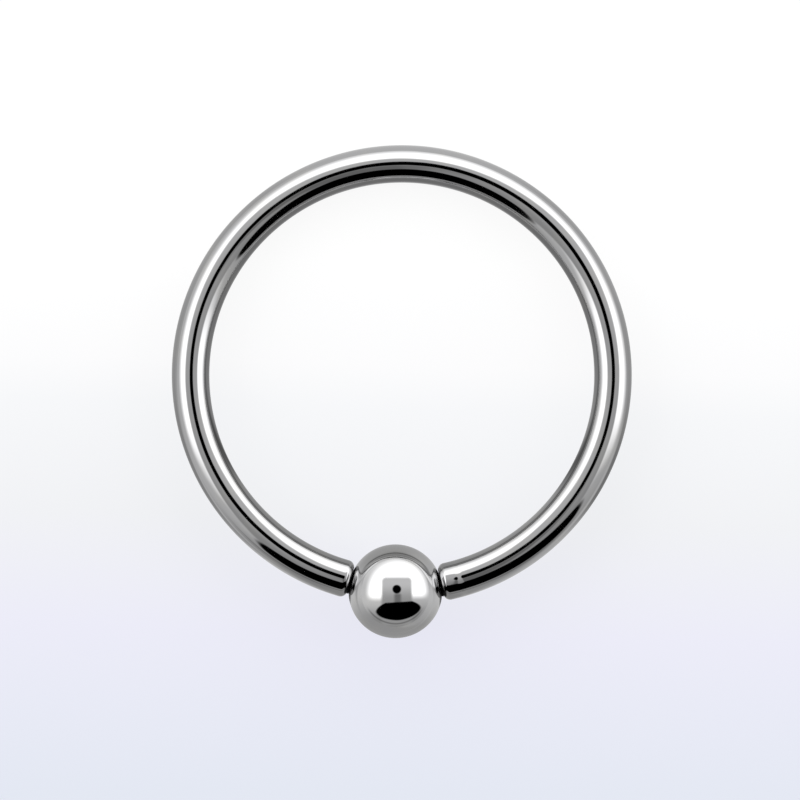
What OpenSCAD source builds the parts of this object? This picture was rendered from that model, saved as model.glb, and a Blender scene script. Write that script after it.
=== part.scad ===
// Captive bead ring: a round wire ring, open at the bottom, and the bead that is held between its ends.
// It lies on its side: the far side of the wire and the underside of the bead touch the surface.
// +Z is up, +Y runs from the bead to the far side of the ring, and X runs across the ring.

/* [Ring] */
// Diameter of the round wire
wire_d = 1.6; // [1.4:0.1:1.8]
// Clear diameter inside the ring
inner_d = 16.4; // [14:0.1:20]
// Rounding of the edge of each wire end
edge_r = 0.3; // [0.26:0.01:0.34]

/* [Bead] */
// Diameter of the bead
bead_d = 4; // [3.8:0.1:4.6]
// How far the bead's centre lies outside the wire's centre line
bead_drop = 0.22; // [0.16:0.01:0.26]
// Gap between the bead and the hollow face of each wire end
end_gap = 0.03; // [0.02:0.01:0.06]
// Depth of the hollow in each wire end, which follows the bead
cup_depth = 0.065; // [0.06:0.005:0.08]

/* [Pivots] */
// Diameter of the small pivot on each wire end
pivot_d = 0.32; // [0.28:0.02:0.4]
// How deep the tip of a pivot sits inside the bead's round outline
pivot_depth = 0.26; // [0.18:0.01:0.34]
// Play between a pivot and the dimple that it turns in, on the radius and at the tip
pivot_play = 0.04; // [0.02:0.01:0.08]
// Width of the bevel on a pivot's tip and on a dimple's floor
pivot_bevel = 0.08; // [0.04:0.01:0.1]

/* [Hidden] */
$fn = 96;
wire_r = wire_d / 2;
ring_r = inner_d / 2 + wire_r;
bead_r = bead_d / 2;
bead_offset = ring_r + bead_drop;
pivot_r = pivot_d / 2;
// Radius of the rounded plug on a wire end, a hair under the wire's, and how far its root goes in
end_r = wire_r - 0.005;
root_h = 0.1;
// Distance from the bead's centre to the tip of a pivot, along X
tip_x = bead_r - pivot_depth;
// Length of a pivot, whose root is buried in the wire
pivot_h = pivot_depth + 1.5 * edge_r;
// Angle at the ring's centre from the bead to the end of the bent wire, where the rounded end begins
end_angle = asin((bead_r + end_gap + edge_r - cup_depth) / bead_offset);
// Slope of the ring at rest, because the bead is thicker than the wire
rest_tilt = asin((bead_r - wire_r) / (bead_offset + ring_r));
// Place of the ring's centre, with the origin on the surface under the middle of the whole part
front_y = bead_offset * cos(rest_tilt) + bead_r;
back_y = ring_r * cos(rest_tilt) + wire_r;
centre_y = (front_y - back_y) / 2;
centre_z = ring_r * sin(rest_tilt) + wire_r;

// Children are drawn with the ring's centre at the origin and its axis along Z, and come out as they rest
module at_rest() {
    translate([0, centre_y, centre_z])
        rotate([-rest_tilt, 0, 0])
            children();
}

// The bent wire, open towards -Y
module wire() {
    rotate_extrude(angle = 360 - 2 * end_angle, start = end_angle - 90)
        translate([ring_r, 0])
            circle(wire_r);
}

// The last bit of the wire, a short plug on Z with a rounded upper edge. Its root is buried in the wire
module rounded_end() {
    rotate_extrude() {
        translate([0, -root_h])
            square([end_r, root_h]);
        square([end_r - edge_r, edge_r]);
        translate([end_r - edge_r, 0])
            intersection() {
                circle(edge_r);
                square(edge_r);
            }
    }
}

// A round stud along X with a bevelled tip. The tip is extra nearer to the bead's centre than tip_x
module stud(r, extra, h) {
    translate([tip_x - extra, -bead_offset, 0])
        rotate([0, 90, 0]) {
            cylinder(r1 = r - pivot_bevel, r2 = r, h = pivot_bevel);
            translate([0, 0, pivot_bevel])
                cylinder(r = r, h = h - pivot_bevel);
        }
}

// Rounded and hollowed end of the wire on the +X side of the bead, with its pivot
module finished_end() {
    difference() {
        rotate([0, 0, end_angle - 90])
            translate([ring_r, 0, 0])
                rotate([90, 0, 0])
                    rounded_end();
        translate([0, -bead_offset, 0])
            rotate([0, 0, 90])
                sphere(bead_r + end_gap);
    }
    stud(pivot_r, 0, pivot_h);
}

module both_sides() {
    children();
    mirror([1, 0, 0])
        children();
}

module ring() {
    color("lightgray")
        at_rest()
            union() {
                wire();
                both_sides()
                    finished_end();
            }
}

module bead() {
    color("silver")
        at_rest()
            difference() {
                translate([0, -bead_offset, 0])
                    rotate([0, 90, 0])
                        sphere(bead_r);
                both_sides()
                    stud(pivot_r + pivot_play, pivot_play, bead_r);
            }
}

ring();
bead();
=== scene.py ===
"""A captive bead ring of polished steel, lying on a pale sheet in soft studio light."""

import math

import bmesh
import bpy
from mathutils import Matrix, Vector


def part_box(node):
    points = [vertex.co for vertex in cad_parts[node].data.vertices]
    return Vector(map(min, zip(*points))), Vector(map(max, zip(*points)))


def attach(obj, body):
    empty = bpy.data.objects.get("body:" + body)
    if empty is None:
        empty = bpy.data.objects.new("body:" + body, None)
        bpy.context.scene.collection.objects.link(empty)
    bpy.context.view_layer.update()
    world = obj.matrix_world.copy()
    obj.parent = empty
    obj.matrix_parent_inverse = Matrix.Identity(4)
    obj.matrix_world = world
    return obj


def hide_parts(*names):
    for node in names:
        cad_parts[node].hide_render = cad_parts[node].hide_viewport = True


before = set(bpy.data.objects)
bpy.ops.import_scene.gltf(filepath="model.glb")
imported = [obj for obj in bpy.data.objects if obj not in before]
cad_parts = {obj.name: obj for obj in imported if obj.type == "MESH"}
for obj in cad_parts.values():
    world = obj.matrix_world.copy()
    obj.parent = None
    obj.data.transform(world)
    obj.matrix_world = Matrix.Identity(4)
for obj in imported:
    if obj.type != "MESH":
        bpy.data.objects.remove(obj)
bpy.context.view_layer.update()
MM = 0.001

# The lie of the ring
# The wire's far side and the bead's underside touch the sheet, so the ring slopes a little.
# Its own frame is taken from the two solids: across, from the bead to the far side, and along its axis.
WIRE_R = 0.8 * MM
ring_low, ring_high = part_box("ring")
bead_low, bead_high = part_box("bead")
ring_radius = (ring_high[0] - ring_low[0]) / 2 - WIRE_R
bead_radius = (bead_high[2] - bead_low[2]) / 2
bead_centre = (Vector(bead_low) + Vector(bead_high)) / 2
far_point = Vector((0, ring_high[1] - WIRE_R, ring_low[2] + WIRE_R))
across = Vector((1, 0, 0))
away = (far_point - bead_centre).normalized()
axis = across.cross(away)
ring_centre = far_point - ring_radius * away
bead_offset = (ring_centre - bead_centre).length
ring_turn = Matrix((across, away, axis)).transposed()

# The camera
# It looks down at the ring along the ring's own axis, through a long lens.
# The bead sits slightly left of the lowest point of the ring in the picture.
IMAGE_SIDE = 800
PIXELS_PER_MM = 23.47
RING_IN_IMAGE = (401.8, 375.1)
BEAD_TO_LEFT = math.radians(1.7)
CAMERA_DISTANCE = 400 * MM
NEAR_CLIP = 10 * MM
SENSOR = 36

view_right = math.cos(BEAD_TO_LEFT) * across + math.sin(BEAD_TO_LEFT) * away
view_up = math.cos(BEAD_TO_LEFT) * away - math.sin(BEAD_TO_LEFT) * across
frame_width = IMAGE_SIDE / PIXELS_PER_MM * MM
aim_right = (IMAGE_SIDE / 2 - RING_IN_IMAGE[0]) / PIXELS_PER_MM * MM
aim_up = (RING_IN_IMAGE[1] - IMAGE_SIDE / 2) / PIXELS_PER_MM * MM
aim = ring_centre + aim_right * view_right + aim_up * view_up

camera_data = bpy.data.cameras.new("camera")
camera_data.sensor_width = SENSOR
camera_data.lens = SENSOR * CAMERA_DISTANCE / frame_width
camera_data.clip_start = NEAR_CLIP
camera = bpy.data.objects.new("camera", camera_data)
camera.matrix_world = Matrix.Translation(aim + CAMERA_DISTANCE * axis) @ (
    Matrix((view_right, view_up, axis)).transposed().to_4x4()
)
bpy.context.scene.collection.objects.link(camera)
bpy.context.scene.camera = camera
bpy.context.scene.view_settings.view_transform = "Standard"

# The light
# A tall light tent stands over the sheet: bright white walls all round but the front, a grey panel overhead
# with a hole for the lens, and a dark opening at the front. It is laid out as it shows in the polished bead
# seen by the camera: (0, 0) is the bead's middle and 1 its rim. Every tone is a radiance.
WHITE_WALL = 2.5
WHITE_MIDDLE_X = 0.04
WHITE_REACH = (0.5, 0.7)
WHITE_HEIGHT = 1.04
WHITE_FOOT_LEFT, WHITE_FOOT_RIGHT = -0.13, -0.09
WHITE_FOOT_FADE = 0.1
OUTER_WALL_UP, OUTER_WALL_SIDE, OUTER_WALL_DOWN = 1.08, 0.82, 0.38
UPPER_WALL_FADE, LOWEST_WALL = (0.1, 0.6), -0.62
DIM_BELOW_LEFT, DIM_BELOW_RIGHT = -0.2, 0.0
LEFT_TO_RIGHT = (-0.3, 0.3)
PANEL_AT, PANEL_HALF, PANEL_CORNER = (0.03, -0.2), (0.32, 0.508), 0.09
PANEL_TOP, PANEL_BOTTOM, PANEL_FADE = 0.84, 0.46, (-0.2, 0.2)
STRIP_AT, STRIP_HALF, STRIP_CORNER, STRIP_TONE = (0.048, -0.16), (0.072, 0.12), 0.04, 0.23
LENS_AT, LENS_R, LENS_EDGE = (0.03, 0.054), 0.093, 0.015
OPENING_AT, OPENING_HALF, OPENING_EDGE = (0.064, -0.383), (0.472, 0.218), 0.05
OPENING_TURN, OPENING_POWER = math.radians(5.7), 1.74
LINTEL_Y, LINTEL_SLOPE, LINTEL_EDGE = -0.222, 0.065, 0.014
SKIRTING_R, SKIRTING_HALF, SKIRTING_DIM, SKIRTING_END = 0.674, 0.028, 0.5, (-0.5, -0.3)
EDGE_SOFTNESS = 0.04
SURROUND = (0.93, 0.93, 0.97, 1)


def feed(tree, sockets, values):
    """Gives each socket its value, which is another socket or a plain value."""
    for socket, value in zip(sockets, values):
        if isinstance(value, bpy.types.NodeSocket):
            tree.links.new(value, socket)
        else:
            socket.default_value = value


def math_node(tree, operation, *values):
    """A Math node with numbers or sockets as its inputs; gives its output."""
    node = tree.nodes.new("ShaderNodeMath")
    node.operation = operation
    feed(tree, node.inputs, values)
    return node.outputs[0]


def ramp(tree, value, low, high, at_low=0.0, at_high=1.0):
    """A smooth step from at_low to at_high as value goes from low to high."""
    node = tree.nodes.new("ShaderNodeMapRange")
    node.interpolation_type = "SMOOTHSTEP"
    feed(tree, node.inputs, (value, low, high, at_low, at_high))
    return node.outputs[0]


def blend_values(tree, mask, below, above):
    """below where mask is 0, above where it is 1."""
    rise = math_node(tree, "SUBTRACT", above, below)
    return math_node(tree, "MULTIPLY_ADD", mask, rise, below)


def vector_node(tree, operation, *values):
    """A Vector Math node with vectors or sockets as its inputs."""
    node = tree.nodes.new("ShaderNodeVectorMath")
    node.operation = operation
    feed(tree, node.inputs, values)
    return node


def vector_between(tree, start, end):
    return vector_node(tree, "SUBTRACT", end, start).outputs["Vector"]


def unit(tree, vector):
    return vector_node(tree, "NORMALIZE", vector).outputs["Vector"]


def length(tree, vector):
    return vector_node(tree, "LENGTH", vector).outputs["Value"]


def dot_with(tree, vector, direction):
    return vector_node(tree, "DOT_PRODUCT", vector, direction).outputs["Value"]


tent = bpy.data.node_groups.new("light_tent", "ShaderNodeTree")
tent.interface.new_socket("Direction", in_out="INPUT", socket_type="NodeSocketVector")
tent.interface.new_socket("Tone", in_out="OUTPUT", socket_type="NodeSocketFloat")
outward = tent.nodes.new("NodeGroupInput").outputs["Direction"]
toward_lens = dot_with(tent, outward, axis)
# The length of the direction plus the axis. The hair over 2 keeps it from 0 straight away from the lens.
spread = math_node(tent, "SQRT", math_node(tent, "MULTIPLY_ADD", toward_lens, 2.0, 2.0001))
tent_x = math_node(tent, "DIVIDE", dot_with(tent, outward, view_right), spread)
tent_y = math_node(tent, "DIVIDE", dot_with(tent, outward, view_up), spread)


def from_middle(coordinate, middle):
    """How far a tent coordinate is past middle."""
    return math_node(tent, "SUBTRACT", coordinate, middle)


def distance(dx, dy, power=2.0):
    """Distance from two offsets. A power under 2 draws the shape out to points."""
    size_x = math_node(tent, "POWER", math_node(tent, "ABSOLUTE", dx), power)
    size_y = math_node(tent, "POWER", math_node(tent, "ABSOLUTE", dy), power)
    return math_node(tent, "POWER", math_node(tent, "ADD", size_x, size_y), 1 / power)


def rounded_box(middle, half, corner):
    """1 inside a box with round corners in the tent's coordinates, 0 outside."""
    over = []
    for coordinate, place, size in zip((tent_x, tent_y), middle, half):
        off = math_node(tent, "ABSOLUTE", from_middle(coordinate, place))
        over.append(math_node(tent, "MAXIMUM", math_node(tent, "SUBTRACT", off, size - corner), 0.0))
    return ramp(tent, distance(*over), corner - EDGE_SOFTNESS, corner + EDGE_SOFTNESS, 1.0, 0.0)


dim_below = ramp(tent, tent_x, *LEFT_TO_RIGHT, DIM_BELOW_LEFT, DIM_BELOW_RIGHT)
lower_wall = ramp(tent, tent_y, LOWEST_WALL, dim_below, OUTER_WALL_DOWN, OUTER_WALL_SIDE)
outer_wall = ramp(tent, tent_y, *UPPER_WALL_FADE, lower_wall, OUTER_WALL_UP)
white_r = distance(from_middle(tent_x, WHITE_MIDDLE_X), math_node(tent, "DIVIDE", tent_y, WHITE_HEIGHT))
white_reach = ramp(tent, white_r, *WHITE_REACH, 1.0, 0.0)
white_foot = ramp(tent, tent_x, *LEFT_TO_RIGHT, WHITE_FOOT_LEFT, WHITE_FOOT_RIGHT)
above_foot = math_node(tent, "SUBTRACT", tent_y, white_foot)
white_mask = math_node(
    tent, "MULTIPLY", white_reach, ramp(tent, above_foot, -WHITE_FOOT_FADE, WHITE_FOOT_FADE)
)
walls = blend_values(tent, white_mask, outer_wall, WHITE_WALL)

panel_tone = ramp(tent, tent_y, *PANEL_FADE, PANEL_BOTTOM, PANEL_TOP)
in_strip = rounded_box(STRIP_AT, STRIP_HALF, STRIP_CORNER)
panel_tone = blend_values(tent, in_strip, panel_tone, STRIP_TONE)
in_panel = rounded_box(PANEL_AT, PANEL_HALF, PANEL_CORNER)
with_panel = blend_values(tent, in_panel, walls, panel_tone)

opening_x = from_middle(tent_x, OPENING_AT[0])
opening_y = from_middle(tent_y, OPENING_AT[1])
turn_cos, turn_sin = math.cos(OPENING_TURN), math.sin(OPENING_TURN)
along_x = math_node(tent, "MULTIPLY", opening_x, turn_cos)
along_x = math_node(tent, "MULTIPLY_ADD", opening_y, turn_sin, along_x)
along_y = math_node(tent, "MULTIPLY", opening_y, turn_cos)
along_y = math_node(tent, "MULTIPLY_ADD", opening_x, -turn_sin, along_y)
along_x = math_node(tent, "DIVIDE", along_x, OPENING_HALF[0])
along_y = math_node(tent, "DIVIDE", along_y, OPENING_HALF[1])
past_lintel = math_node(tent, "MULTIPLY_ADD", tent_x, -LINTEL_SLOPE, tent_y)
past_lintel = ramp(tent, past_lintel, LINTEL_Y - LINTEL_EDGE, LINTEL_Y + LINTEL_EDGE)
opening_r = distance(along_x, along_y, OPENING_POWER)
no_opening = ramp(tent, opening_r, 1 - OPENING_EDGE, 1 + OPENING_EDGE)
no_opening = math_node(tent, "MAXIMUM", no_opening, past_lintel)
lens_r = distance(from_middle(tent_x, LENS_AT[0]), from_middle(tent_y, LENS_AT[1]))
no_lens = ramp(tent, lens_r, LENS_R - LENS_EDGE, LENS_R + LENS_EDGE)
from_skirting = math_node(tent, "ABSOLUTE", from_middle(distance(tent_x, tent_y), SKIRTING_R))
at_skirting = ramp(tent, from_skirting, 0.0, SKIRTING_HALF, 1.0, 0.0)
below_end = ramp(tent, tent_y, *SKIRTING_END, 1.0, 0.0)
at_skirting = math_node(tent, "MULTIPLY", at_skirting, below_end)
skirting = blend_values(tent, at_skirting, 1.0, SKIRTING_DIM)
dark_places = math_node(tent, "MULTIPLY", no_opening, no_lens)
dark_places = math_node(tent, "MULTIPLY", dark_places, skirting)
tent_tone = math_node(tent, "MULTIPLY", with_panel, dark_places)
tent.links.new(tent_tone, tent.nodes.new("NodeGroupOutput").inputs["Tone"])


def tent_tone_toward(tree, direction):
    """The tent's tone in a direction from the bead."""
    pattern = tree.nodes.new("ShaderNodeGroup")
    pattern.node_tree = tent
    tree.links.new(direction, pattern.inputs["Direction"])
    return pattern.outputs["Tone"]


world = bpy.data.worlds.new("light_on_the_sheet")
world.use_nodes = True
bpy.context.scene.world = world
world.cycles_visibility.glossy = False
tree = world.node_tree
tree.nodes.clear()
tent_light = tree.nodes.new("ShaderNodeBackground")
direction = tree.nodes.new("ShaderNodeTexCoord").outputs["Generated"]
tree.links.new(tent_tone_toward(tree, direction), tent_light.inputs["Color"])
surround_light = tree.nodes.new("ShaderNodeBackground")
surround_light.inputs["Color"].default_value = SURROUND
pick = tree.nodes.new("ShaderNodeMixShader")
tree.links.new(tree.nodes.new("ShaderNodeLightPath").outputs["Is Camera Ray"], pick.inputs[0])
tree.links.new(tent_light.outputs[0], pick.inputs[1])
tree.links.new(surround_light.outputs[0], pick.inputs[2])
world_out = tree.nodes.new("ShaderNodeOutputWorld")
tree.links.new(pick.outputs[0], world_out.inputs["Surface"])

# The walls of the tent
# White cloth on a tall frame, much nearer in front of the bead than behind it and wider toward the top, so
# that each place on the wire shows it from its own side. Only the polished metal sees it: the camera and
# the sheet don't.
TENT_HALF = (84 * MM, 130 * MM, 300 * MM)
TENT_BACK = 70 * MM
TENT_FLARE, TENT_FLARE_FROM = 7.0, 20 * MM
TENT_SIDES, TENT_ROWS = 96, 48

tent_bm = bmesh.new()
bmesh.ops.create_uvsphere(tent_bm, u_segments=TENT_SIDES, v_segments=TENT_ROWS, radius=1)
tent_size = Matrix.Diagonal(TENT_HALF)
for vert in tent_bm.verts:
    vert.co = tent_size @ vert.co
    vert.co.x *= 1 + TENT_FLARE * max(0, vert.co.z - TENT_FLARE_FROM)
    vert.co = bead_centre + TENT_BACK * away + ring_turn @ vert.co
tent_mesh = bpy.data.meshes.new("tent_walls")
tent_bm.to_mesh(tent_mesh)
tent_bm.free()
tent_walls = bpy.data.objects.new("tent_walls", tent_mesh)
bpy.context.scene.collection.objects.link(tent_walls)
cloth = bpy.data.materials.new("lit_cloth")
cloth.use_nodes = True
cloth.cycles.emission_sampling = "NONE"
tree = cloth.node_tree
tree.nodes.clear()
spot = tree.nodes.new("ShaderNodeTexCoord").outputs["Object"]
direction = unit(tree, vector_between(tree, bead_centre, spot))
cloth_light = tree.nodes.new("ShaderNodeEmission")
tree.links.new(tent_tone_toward(tree, direction), cloth_light.inputs["Color"])
cloth_out = tree.nodes.new("ShaderNodeOutputMaterial")
tree.links.new(cloth_light.outputs[0], cloth_out.inputs["Surface"])
tent_mesh.materials.append(cloth)
tent_walls.visible_camera = False
tent_walls.visible_diffuse = False
tent_walls.visible_transmission = False
tent_walls.visible_volume_scatter = False
tent_walls.visible_shadow = False

# The sheet
# Pale matt plastic, lit from above. Most of its brightness is painted light: it glows by itself, as if lit
# from below, so that shadows on it stay faint. It is white at the far side and a trace of lavender at the
# near side. The metal is shown it dimmer, as painted shade: near the bead and far off by the direction from
# the bead, round the ring by the direction from the ring, and inside the ring darker toward the far side,
# with a painted dark line that curves round the bead.
SHEET_HALF = 600 * MM
SHEET_SPAN = (-18 * MM, 8 * MM)
SHEET_TONES = (
    (0.0, (0.75, 0.785, 0.87, 1)),
    (0.29, (0.82, 0.82, 0.917, 1)),
    (0.48, (0.86, 0.868, 0.892, 1)),
    (0.66, (0.908, 0.916, 0.932, 1)),
    (0.73, (0.952, 0.952, 0.96, 1)),
    (0.9, (0.99, 0.99, 0.99, 1)),
)
MATT_SHARE = 0.12
GLOW = 0.91
# Painted shade: these tones darken the sheet only where the polished metal sees it
BEAD_FRONT, BEAD_FRONT_RIGHT = 0.42, 0.5
BEAD_BESIDE, BEAD_BEHIND = 0.76, 0.6
RING_FRONT_LEFT, RING_FRONT_RIGHT = 0.46, 0.68
RING_LOW_LEFT, RING_LOW_RIGHT = 0.4, 0.3
RING_SIDE, RING_UPPER, RING_FAR = 0.53, 0.64, 0.84
INSIDE_NEAR_LEFT, INSIDE_NEAR_RIGHT, INSIDE_FAR = 0.46, 0.58, 0.29
# A painted dark line round the bead, seen only in the metal
PAINTED_LINE_AT, PAINTED_LINE_HALF, PAINTED_LINE_DIM = 8.6 * MM, 1.5 * MM, 0.33
# Where one of these tones turns into the next, by place or by the cosine of a direction
BEAD_REACH = (6 * MM, 10 * MM)
BEAD_TO_RIGHT = (3 * MM, 9 * MM)
BEAD_FRONT_TO_SIDE, BEAD_SIDE_TO_BACK = (-0.85, -0.1), (0.0, 0.4)
BEAD_TO_FAR = (5 * MM, 13 * MM)
FAR_OFF = (13 * MM, 17 * MM)
RING_FRONT_TO_RIGHT, RING_LOW_TO_RIGHT = (-0.4, 0.4), (-0.6, 0.6)
RING_FRONT_TO_LOW, RING_LOW_TO_SIDE = (-0.72, -0.5), (-0.4, 0.05)
RING_SIDE_TO_UPPER, RING_UPPER_TO_FAR = (0.1, 0.5), (0.75, 1.0)
INSIDE_EDGE = (6.5 * MM, 9 * MM)
INSIDE_TO_RIGHT, INSIDE_TO_FAR = (0.0, 5 * MM), (-4 * MM, 4 * MM)


def parts_of(tree, vector):
    """The X, Y and Z of a vector socket."""
    node = tree.nodes.new("ShaderNodeSeparateXYZ")
    tree.links.new(vector, node.inputs[0])
    return node.outputs


def blend_colours(tree, mask, below, above):
    """The colour below where mask is 0, above where it is 1."""
    node = tree.nodes.new("ShaderNodeMix")
    node.data_type = "RGBA"
    tree.links.new(mask, node.inputs["Factor"])
    feed(tree, node.inputs[6:8], (below, above))
    return node.outputs[2]


sheet_mesh = bpy.data.meshes.new("sheet")
sheet_corners = ((-1, -1), (1, -1), (1, 1), (-1, 1))
sheet_mesh.from_pydata([(x * SHEET_HALF, y * SHEET_HALF, 0) for x, y in sheet_corners], [], [(0, 1, 2, 3)])
sheet = bpy.data.objects.new("sheet", sheet_mesh)
bpy.context.scene.collection.objects.link(sheet)
plastic = bpy.data.materials.new("pale_plastic")
plastic.use_nodes = True
tree = plastic.node_tree
tree.nodes.clear()
spot = tree.nodes.new("ShaderNodeTexCoord").outputs["Object"]
where = parts_of(tree, spot)
tone = tree.nodes.new("ShaderNodeValToRGB")
stops = tone.color_ramp.elements
for place, _ in SHEET_TONES[2:]:
    stops.new(place)
for stop, (place, colour) in zip(stops, SHEET_TONES):
    stop.position = place
    stop.color = colour
across_span = tree.nodes.new("ShaderNodeMapRange")
across_span.inputs["From Min"].default_value = SHEET_SPAN[0]
across_span.inputs["From Max"].default_value = SHEET_SPAN[1]
tree.links.new(where["Y"], across_span.inputs["Value"])
tree.links.new(across_span.outputs[0], tone.inputs[0])

from_bead = vector_between(tree, (bead_centre.x, bead_centre.y, 0), spot)
bead_distance = length(tree, from_bead)
near_bead = ramp(tree, bead_distance, *BEAD_REACH, 1.0, 0.0)
backward = dot_with(tree, unit(tree, from_bead), (0, 1, 0))
bead_front = ramp(tree, where["X"], *BEAD_TO_RIGHT, BEAD_FRONT, BEAD_FRONT_RIGHT)
by_bead = ramp(tree, backward, *BEAD_FRONT_TO_SIDE, bead_front, BEAD_BESIDE)
by_bead = ramp(tree, backward, *BEAD_SIDE_TO_BACK, by_bead, BEAD_BEHIND)
by_bead = ramp(tree, where["Y"], *BEAD_TO_FAR, by_bead, RING_FAR)

from_ring = vector_between(tree, (ring_centre.x, ring_centre.y, 0), spot)
ring_distance = length(tree, from_ring)
far_off = ramp(tree, ring_distance, *FAR_OFF)
round_ring = unit(tree, from_ring)
to_right = dot_with(tree, round_ring, (1, 0, 0))
to_far = dot_with(tree, round_ring, (0, 1, 0))
front = ramp(tree, to_right, *RING_FRONT_TO_RIGHT, RING_FRONT_LEFT, RING_FRONT_RIGHT)
low = ramp(tree, to_right, *RING_LOW_TO_RIGHT, RING_LOW_LEFT, RING_LOW_RIGHT)
outside = ramp(tree, to_far, *RING_FRONT_TO_LOW, front, low)
outside = ramp(tree, to_far, *RING_LOW_TO_SIDE, outside, RING_SIDE)
outside = ramp(tree, to_far, *RING_SIDE_TO_UPPER, outside, RING_UPPER)
outside = ramp(tree, to_far, *RING_UPPER_TO_FAR, outside, RING_FAR)
outside = blend_values(tree, math_node(tree, "MAXIMUM", near_bead, far_off), outside, by_bead)

inside_near = ramp(tree, where["X"], *INSIDE_TO_RIGHT, INSIDE_NEAR_LEFT, INSIDE_NEAR_RIGHT)
inside = ramp(tree, where["Y"], *INSIDE_TO_FAR, inside_near, INSIDE_FAR)
# The painted dark line: a ring of dimmer sheet round the bead, only for the metal
from_painted_line = math_node(tree, "ABSOLUTE", math_node(tree, "SUBTRACT", bead_distance, PAINTED_LINE_AT))
painted_line = ramp(tree, from_painted_line, 0.0, PAINTED_LINE_HALF, PAINTED_LINE_DIM, 1.0)
inside = math_node(tree, "MULTIPLY", inside, painted_line)
in_ring = ramp(tree, ring_distance, *INSIDE_EDGE, 1.0, 0.0)
painted_shade_for_metal = blend_values(tree, in_ring, outside, inside)

# The metal sees the sheet's painted shade, the camera its plain tones
seen_in_metal = tree.nodes.new("ShaderNodeLightPath").outputs["Is Glossy Ray"]
shown = blend_colours(tree, seen_in_metal, tone.outputs[0], painted_shade_for_metal)
dimmed = vector_node(tree, "MULTIPLY", shown, (MATT_SHARE, MATT_SHARE, MATT_SHARE))
matt = tree.nodes.new("ShaderNodeBsdfDiffuse")
tree.links.new(dimmed.outputs["Vector"], matt.inputs["Color"])
# Painted light: the sheet glows, though it is no lamp
glow = tree.nodes.new("ShaderNodeEmission")
tree.links.new(shown, glow.inputs["Color"])
glow.inputs["Strength"].default_value = GLOW
both = tree.nodes.new("ShaderNodeAddShader")
tree.links.new(matt.outputs[0], both.inputs[0])
tree.links.new(glow.outputs[0], both.inputs[1])
sheet_out = tree.nodes.new("ShaderNodeOutputMaterial")
tree.links.new(both.outputs[0], sheet_out.inputs["Surface"])
sheet_mesh.materials.append(plastic)

# The ring
# One length of round surgical steel wire, bent to a circle that is open at the near side and polished
# all over. Each end is hollowed to follow the bead, its rim is rounded, and a small pivot stands in it.
EDGE_R = 0.3 * MM
END_GAP = 0.03 * MM
CUP_DEPTH = 0.065 * MM
PIVOT_R = 0.16 * MM
PIVOT_DEPTH = 0.26 * MM
PIVOT_BEVEL = 0.08 * MM
PIVOT_ROOT = 1.5 * EDGE_R
PATH_STEPS = 640
WIRE_SIDES = 96
ROUNDING_STEPS = 14
CUP_STEPS = 8
STUD_SIDES = 32
# The ring's steel is darker than the bead's, as painted shade; the two tones of each pair are the smears
RING_TONES = ((0.455, 0.455, 0.46, 1), (0.475, 0.472, 0.468, 1))
RING_ROUGHNESS = (0.035, 0.075)
RING_SCRATCH_LENGTH = 14.0
# In the narrow gap the steel is rougher, and its near-black colour is painted shade
PAINTED_GAP_SHADE, SEAT_ROUGHNESS = (0.02, 0.02, 0.022, 1), 0.42
SEAT_FADE = (0.01 * MM, 0.09 * MM)
# Each noise is its scale, on a vector in millimetres, and its detail. Heights are in units of BUMP_DISTANCE
BUMP_DISTANCE = 0.006 * MM
WAVE_NOISE, WAVE_HEIGHT = (0.8, 1.0), 1.0
SMEAR_NOISE, SMEAR_LIMITS = (0.9, 4.0), (0.42, 0.68)
SCRATCH_NOISE, SCRATCH_LIMITS = (26.0, 2.0), (0.58, 0.74)
SCRATCH_HEIGHT, SCRATCH_ROUGHNESS = 0.03, 0.05
PATCH_NOISE, PATCH_LIMITS = (1.7, 2.0), (0.4, 0.6)
# The swelling's place, in millimetres along the wire from its far side, its two slopes and their heights
SWELLING_AT = 25.67
SWELLING_RISE, SWELLING_RISE_HEIGHT = 0.33, 5.8
SWELLING_FALL, SWELLING_FALL_HEIGHT = 0.6, 7.0


def input_socket(tree, name, kind):
    return tree.interface.new_socket(name, in_out="INPUT", socket_type=kind)


def vector_of(tree, *parts):
    """A vector socket from up to three sockets."""
    node = tree.nodes.new("ShaderNodeCombineXYZ")
    feed(tree, node.inputs, parts)
    return node.outputs[0]


def noise(tree, vector, scale, detail):
    node = tree.nodes.new("ShaderNodeTexNoise")
    tree.links.new(vector, node.inputs["Vector"])
    node.inputs["Scale"].default_value = scale
    node.inputs["Detail"].default_value = detail
    return node.outputs[0]


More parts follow.
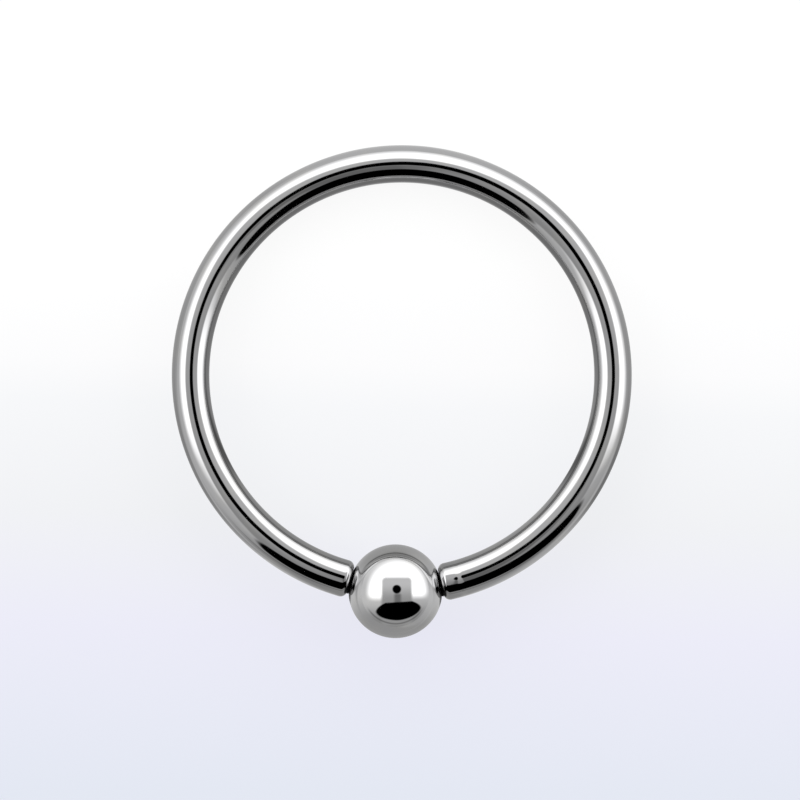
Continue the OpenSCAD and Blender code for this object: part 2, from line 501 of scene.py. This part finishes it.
def polish_marks():
    """What mirror polish leaves on steel: slight waves, faint smears and patches of hair scratches along X.

    Its Vector is in millimetres. Smear runs from 0, clean, to 1, and Height is for a bump.
    """
    tree = bpy.data.node_groups.new("polish_marks", "ShaderNodeTree")
    input_socket(tree, "Vector", "NodeSocketVector")
    for name in ("Scratch Length", "Wave Height", "Scratch Height"):
        input_socket(tree, name, "NodeSocketFloat")
    for name in ("Smear", "Scratches", "Height"):
        tree.interface.new_socket(name, in_out="OUTPUT", socket_type="NodeSocketFloat")
    given = tree.nodes.new("NodeGroupInput").outputs
    vector = given["Vector"]
    parts = parts_of(tree, vector)
    shortened = math_node(tree, "DIVIDE", parts["X"], given["Scratch Length"])
    drawn_out = vector_of(tree, shortened, parts["Y"], parts["Z"])

    smear = ramp(tree, noise(tree, vector, *SMEAR_NOISE), *SMEAR_LIMITS)
    lines = ramp(tree, noise(tree, drawn_out, *SCRATCH_NOISE), *SCRATCH_LIMITS)
    patches = ramp(tree, noise(tree, vector, *PATCH_NOISE), *PATCH_LIMITS)
    scratches = math_node(tree, "MULTIPLY", lines, patches)
    wave = noise(tree, vector, *WAVE_NOISE)
    height = math_node(tree, "MULTIPLY", wave, given["Wave Height"])
    depth = math_node(tree, "MULTIPLY", scratches, given["Scratch Height"])
    out = tree.nodes.new("NodeGroupOutput")
    tree.links.new(smear, out.inputs["Smear"])
    tree.links.new(scratches, out.inputs["Scratches"])
    tree.links.new(math_node(tree, "SUBTRACT", height, depth), out.inputs["Height"])
    return tree


def polished_steel(name, tones, roughness, marks_at, seat_at, scratch_length, swelling_at=None):
    """Bare steel with the polish marks. marks_at(tree) gives the marks' Vector.

    seat_at(tree) is 1 on the faces of the narrow gap, which the polishing wheel doesn't reach, so they are
    rougher; their near-black colour is painted shade.
    swelling_at(tree, vector) is a height in units of BUMP_DISTANCE.
    """
    steel = bpy.data.materials.new(name)
    steel.use_nodes = True
    tree = steel.node_tree
    shader = tree.nodes["Principled BSDF"]
    shader.inputs["Metallic"].default_value = 1.0
    marks = tree.nodes.new("ShaderNodeGroup")
    marks.node_tree = marks_group
    vector = marks_at(tree)
    tree.links.new(vector, marks.inputs["Vector"])
    marks.inputs["Scratch Length"].default_value = scratch_length
    marks.inputs["Wave Height"].default_value = WAVE_HEIGHT
    marks.inputs["Scratch Height"].default_value = SCRATCH_HEIGHT
    seat = seat_at(tree)
    tone = blend_colours(tree, marks.outputs["Smear"], *tones)
    # Painted shade: the gap's faces go near black
    tree.links.new(blend_colours(tree, seat, tone, PAINTED_GAP_SHADE), shader.inputs["Base Color"])
    rough = ramp(tree, marks.outputs["Smear"], 0.0, 1.0, *roughness)
    rough = math_node(tree, "MULTIPLY_ADD", marks.outputs["Scratches"], SCRATCH_ROUGHNESS, rough)
    tree.links.new(blend_values(tree, seat, rough, SEAT_ROUGHNESS), shader.inputs["Roughness"])
    bump = tree.nodes.new("ShaderNodeBump")
    bump.inputs["Distance"].default_value = BUMP_DISTANCE
    height = marks.outputs["Height"]
    if swelling_at:
        height = math_node(tree, "ADD", height, swelling_at(tree, vector))
    tree.links.new(height, bump.inputs["Height"])
    tree.links.new(bump.outputs[0], shader.inputs["Normal"])
    return steel


def along_the_wire(tree):
    """Millimetres along the bent wire, out from the ring's axis and up along it."""
    local = tree.nodes.new("ShaderNodeMapping")
    local.vector_type = "TEXTURE"
    local.inputs["Location"].default_value = ring_centre
    local.inputs["Rotation"].default_value = ring_turn.to_euler()
    local.inputs["Scale"].default_value = (MM, MM, MM)
    tree.links.new(tree.nodes.new("ShaderNodeTexCoord").outputs["Object"], local.inputs["Vector"])
    parts = parts_of(tree, local.outputs[0])
    turn = math_node(tree, "ARCTAN2", parts["X"], parts["Y"])
    along = math_node(tree, "MULTIPLY", turn, ring_radius / MM)
    out_from_axis = length(tree, vector_of(tree, parts["X"], parts["Y"]))
    return vector_of(tree, along, out_from_axis, parts["Z"])


def swelling(tree, vector):
    """The faint swelling that the shears and the wheel left round the wire just before one end."""
    beyond = math_node(tree, "SUBTRACT", parts_of(tree, vector)["X"], SWELLING_AT)
    rise = ramp(tree, beyond, -SWELLING_RISE, 0.0, 0.0, SWELLING_RISE_HEIGHT)
    fall = ramp(tree, beyond, 0.0, SWELLING_FALL, 0.0, SWELLING_FALL_HEIGHT)
    return math_node(tree, "SUBTRACT", rise, fall)


def in_the_hollow(tree):
    """1 on the hollow wire ends and their pivots, by the distance from the bead's middle."""
    spot = tree.nodes.new("ShaderNodeTexCoord").outputs["Object"]
    from_bead = length(tree, vector_between(tree, bead_centre, spot))
    full, none = [bead_radius + END_GAP + beyond for beyond in SEAT_FADE]
    return ramp(tree, from_bead, full, none, 1.0, 0.0)


def wire_tree():
    """Sweeps a round section along the arc, and leaves both ends open."""
    tree = bpy.data.node_groups.new("bent_wire", "GeometryNodeTree")
    for name in ("Ring Radius", "Wire Radius", "End Angle"):
        input_socket(tree, name, "NodeSocketFloat")
    for name in ("Steps", "Sides"):
        input_socket(tree, name, "NodeSocketInt")
    input_socket(tree, "Slope", "NodeSocketFloat")
    input_socket(tree, "Centre", "NodeSocketVector")
    tree.interface.new_socket("Geometry", in_out="OUTPUT", socket_type="NodeSocketGeometry")
    given = tree.nodes.new("NodeGroupInput").outputs

    path = tree.nodes.new("GeometryNodeMeshLine")
    tree.links.new(given["Steps"], path.inputs["Count"])
    index = tree.nodes.new("GeometryNodeInputIndex").outputs[0]
    part = math_node(tree, "DIVIDE", index, math_node(tree, "SUBTRACT", given["Steps"], 1.0))
    arc = math_node(tree, "MULTIPLY_ADD", given["End Angle"], -2.0, 2 * math.pi)
    turn = math_node(tree, "MULTIPLY_ADD", part, arc, given["End Angle"])
    x = math_node(tree, "MULTIPLY", math_node(tree, "SINE", turn), given["Ring Radius"])
    y = math_node(tree, "MULTIPLY", math_node(tree, "COSINE", turn), given["Ring Radius"])
    place = vector_of(tree, x, math_node(tree, "MULTIPLY", y, -1.0))
    bend = tree.nodes.new("GeometryNodeSetPosition")
    tree.links.new(path.outputs["Mesh"], bend.inputs["Geometry"])
    tree.links.new(place, bend.inputs["Position"])

    curve = tree.nodes.new("GeometryNodeMeshToCurve")
    tree.links.new(bend.outputs[0], curve.inputs["Mesh"])
    section = tree.nodes.new("GeometryNodeCurvePrimitiveCircle")
    tree.links.new(given["Sides"], section.inputs["Resolution"])
    tree.links.new(given["Wire Radius"], section.inputs["Radius"])
    sweep = tree.nodes.new("GeometryNodeCurveToMesh")
    tree.links.new(curve.outputs["Curve"], sweep.inputs["Curve"])
    tree.links.new(section.outputs[0], sweep.inputs["Profile Curve"])

    lie = tree.nodes.new("GeometryNodeTransform")
    tree.links.new(sweep.outputs[0], lie.inputs["Geometry"])
    tree.links.new(given["Centre"], lie.inputs["Translation"])
    tree.links.new(vector_of(tree, given["Slope"]), lie.inputs["Rotation"])
    tree.links.new(lie.outputs[0], tree.nodes.new("NodeGroupOutput").inputs[0])
    return tree


def made_by(tree, name, values):
    """The plain mesh that a Geometry Nodes tree makes from the named values."""
    base = bpy.data.objects.new(name, bpy.data.meshes.new(name))
    bpy.context.scene.collection.objects.link(base)
    modifier = base.modifiers.new(name, "NODES")
    modifier.node_group = tree
    for item in tree.interface.items_tree:
        if item.in_out == "INPUT":
            modifier[item.identifier] = values[item.name]
    depsgraph = bpy.context.evaluated_depsgraph_get()
    mesh = bpy.data.meshes.new_from_object(base.evaluated_get(depsgraph))
    bpy.data.objects.remove(base)
    return mesh


def bridge(bm, one, two):
    """Faces between two rings of vertices. A ring of one vertex is a tip."""
    count = max(len(one), len(two))
    for step in range(count):
        near = [one[step % len(one)], one[(step + 1) % len(one)]]
        far = [two[(step + 1) % len(two)], two[step % len(two)]]
        bm.faces.new(list(dict.fromkeys(near + far)))


def lathe(bm, profile, sides, origin):
    """Turns a profile of (x, radius) points about the line along X through origin."""
    rings = []
    for x, radius in profile:
        turns = [2 * math.pi * step / sides for step in range(sides if radius else 1)]
        spots = [Vector((x, radius * math.cos(turn), radius * math.sin(turn))) for turn in turns]
        rings.append([bm.verts.new(origin + spot) for spot in spots])
    for one, two in zip(rings, rings[1:]):
        bridge(bm, one, two)


def close_end(bm, side):
    """Closes the open end of the wire on one side of the bead with a rounded rim and a hollow.

    Gives the vertices where the rounding meets the hollow.
    """
    turn = side * end_angle
    outward = ring_turn @ Vector((-side * math.cos(turn), -side * math.sin(turn), 0))
    middle = ring_centre + ring_turn @ Vector((math.sin(turn), -math.cos(turn), 0)) * ring_radius
    upright = outward.cross(axis)
    edge = [vert for vert in bm.verts if vert.is_boundary and (vert.co - middle).length < 2 * WIRE_R]
    edge.sort(key=lambda vert: math.atan2((vert.co - middle).dot(axis), (vert.co - middle).dot(upright)))
    spokes = [(vert.co - middle).normalized() for vert in edge]
    clear_r = bead_radius + END_GAP
    flat_r = WIRE_R - EDGE_R
    loops = [edge]

    def kept_clear(spot):
        """spot, or the place on the round hollow where a line from it along the wire comes out."""
        offset = spot - bead_centre
        if offset.length >= clear_r:
            return spot
        reach = offset.dot(outward)
        return spot - outward * (reach + math.sqrt(reach**2 + clear_r**2 - offset.length_squared))

    for step in range(1, ROUNDING_STEPS + 1):
        angle = math.pi / 2 * step / ROUNDING_STEPS
        forward, radius = EDGE_R * math.sin(angle), flat_r + EDGE_R * math.cos(angle)
        spots = [kept_clear(middle + forward * outward + radius * spoke) for spoke in spokes]
        loops.append([bm.verts.new(spot) for spot in spots])
    face_middle = middle + EDGE_R * outward
    for step in range(1, CUP_STEPS):
        radius = flat_r * (1 - step / CUP_STEPS)
        spots = [kept_clear(face_middle + radius * spoke) for spoke in spokes]
        loops.append([bm.verts.new(spot) for spot in spots])
    loops.append([bm.verts.new(kept_clear(face_middle))])
    for one, two in zip(loops, loops[1:]):
        bridge(bm, one, two)
    return loops[ROUNDING_STEPS]


def finished_object(name, bm, material):
    """A smooth-shaded object in the scene, made from a closed mesh."""
    bmesh.ops.recalc_face_normals(bm, faces=bm.faces)
    for face in bm.faces:
        face.smooth = True
    mesh = bpy.data.meshes.new(name)
    bm.to_mesh(mesh)
    bm.free()
    mesh.materials.append(material)
    piece = bpy.data.objects.new(name, mesh)
    bpy.context.scene.collection.objects.link(piece)
    return piece


marks_group = polish_marks()
ring_steel = polished_steel(
    "ring_steel",
    RING_TONES,
    RING_ROUGHNESS,
    along_the_wire,
    in_the_hollow,
    RING_SCRATCH_LENGTH,
    swelling,
)
tip_x = bead_radius - PIVOT_DEPTH
end_angle = math.asin((bead_radius + END_GAP + EDGE_R - CUP_DEPTH) / bead_offset)
wire_values = {
    "Ring Radius": ring_radius,
    "Wire Radius": WIRE_R,
    "End Angle": end_angle,
    "Steps": PATH_STEPS,
    "Sides": WIRE_SIDES,
    "Slope": math.atan2(away.z, away.y),
    "Centre": ring_centre,
}
ring_bm = bmesh.new()
ring_bm.from_mesh(made_by(wire_tree(), "bent_wire", wire_values))
for side in (1, -1):
    rim = close_end(ring_bm, side)
    for edge in ring_bm.edges:
        if edge.verts[0] in rim and edge.verts[1] in rim:
            edge.smooth = False
stud_profile = [
    (tip_x, 0),
    (tip_x, PIVOT_R - PIVOT_BEVEL),
    (tip_x + PIVOT_BEVEL, PIVOT_R),
    (tip_x + PIVOT_DEPTH + PIVOT_ROOT, PIVOT_R),
    (tip_x + PIVOT_DEPTH + PIVOT_ROOT, 0),
]
for side in (1, -1):
    lathe(ring_bm, [(side * x, radius) for x, radius in stud_profile], STUD_SIDES, bead_centre)
ring = finished_object("ring_wire", ring_bm, ring_steel)
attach(ring, "wire_ring")
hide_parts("ring")

# The bead
# A solid ball of the same steel, ground and polished round, with a drilled dimple on each side.
# The wire's pivots sit in the dimples, and the bead turns on them.
PIVOT_PLAY = 0.04 * MM
BALL_SIDES = 192
BALL_STEPS = 96
RIM_R = 0.03 * MM
BEAD_TONES = ((0.585, 0.585, 0.59, 1), (0.605, 0.602, 0.596, 1))
BEAD_ROUGHNESS = (0.03, 0.065)
BEAD_SCRATCH_LENGTH = 5.0
BEAD_SEAT = (1.86 * MM, 1.93 * MM)


def about_the_bead(tree):
    """Millimetres from the bead's middle."""
    local = tree.nodes.new("ShaderNodeMapping")
    local.vector_type = "TEXTURE"
    local.inputs["Location"].default_value = bead_centre
    local.inputs["Scale"].default_value = (MM, MM, MM)
    tree.links.new(tree.nodes.new("ShaderNodeTexCoord").outputs["Object"], local.inputs["Vector"])
    return local.outputs[0]


def beside_the_wire(tree):
    """1 on the two small caps that face the wire ends, and in their dimples."""
    spot = tree.nodes.new("ShaderNodeTexCoord").outputs["Object"]
    return ramp(tree, math_node(tree, "ABSOLUTE", parts_of(tree, spot)["X"]), *BEAD_SEAT)


bead_steel = polished_steel(
    "bead_steel", BEAD_TONES, BEAD_ROUGHNESS, about_the_bead, beside_the_wire, BEAD_SCRATCH_LENGTH
)
hole_r = PIVOT_R + PIVOT_PLAY
floor_x = tip_x - PIVOT_PLAY
rim_angle = math.asin((hole_r + RIM_R) / bead_radius)
rim_x = bead_radius * math.cos(rim_angle) - RIM_R
half_profile = [
    (floor_x, 0),
    (floor_x, hole_r - PIVOT_BEVEL),
    (floor_x + PIVOT_BEVEL, hole_r),
    (rim_x, hole_r),
]
for step in range(BALL_STEPS + 1):
    angle = rim_angle + (math.pi / 2 - rim_angle) * step / BALL_STEPS
    half_profile.append((bead_radius * math.cos(angle), bead_radius * math.sin(angle)))
other_half = [(-x, radius) for x, radius in reversed(half_profile[:-1])]
bead_bm = bmesh.new()
lathe(bead_bm, half_profile + other_half, BALL_SIDES, bead_centre)
bead = finished_object("bead_ball", bead_bm, bead_steel)
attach(bead, "captive_bead")
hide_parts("bead")
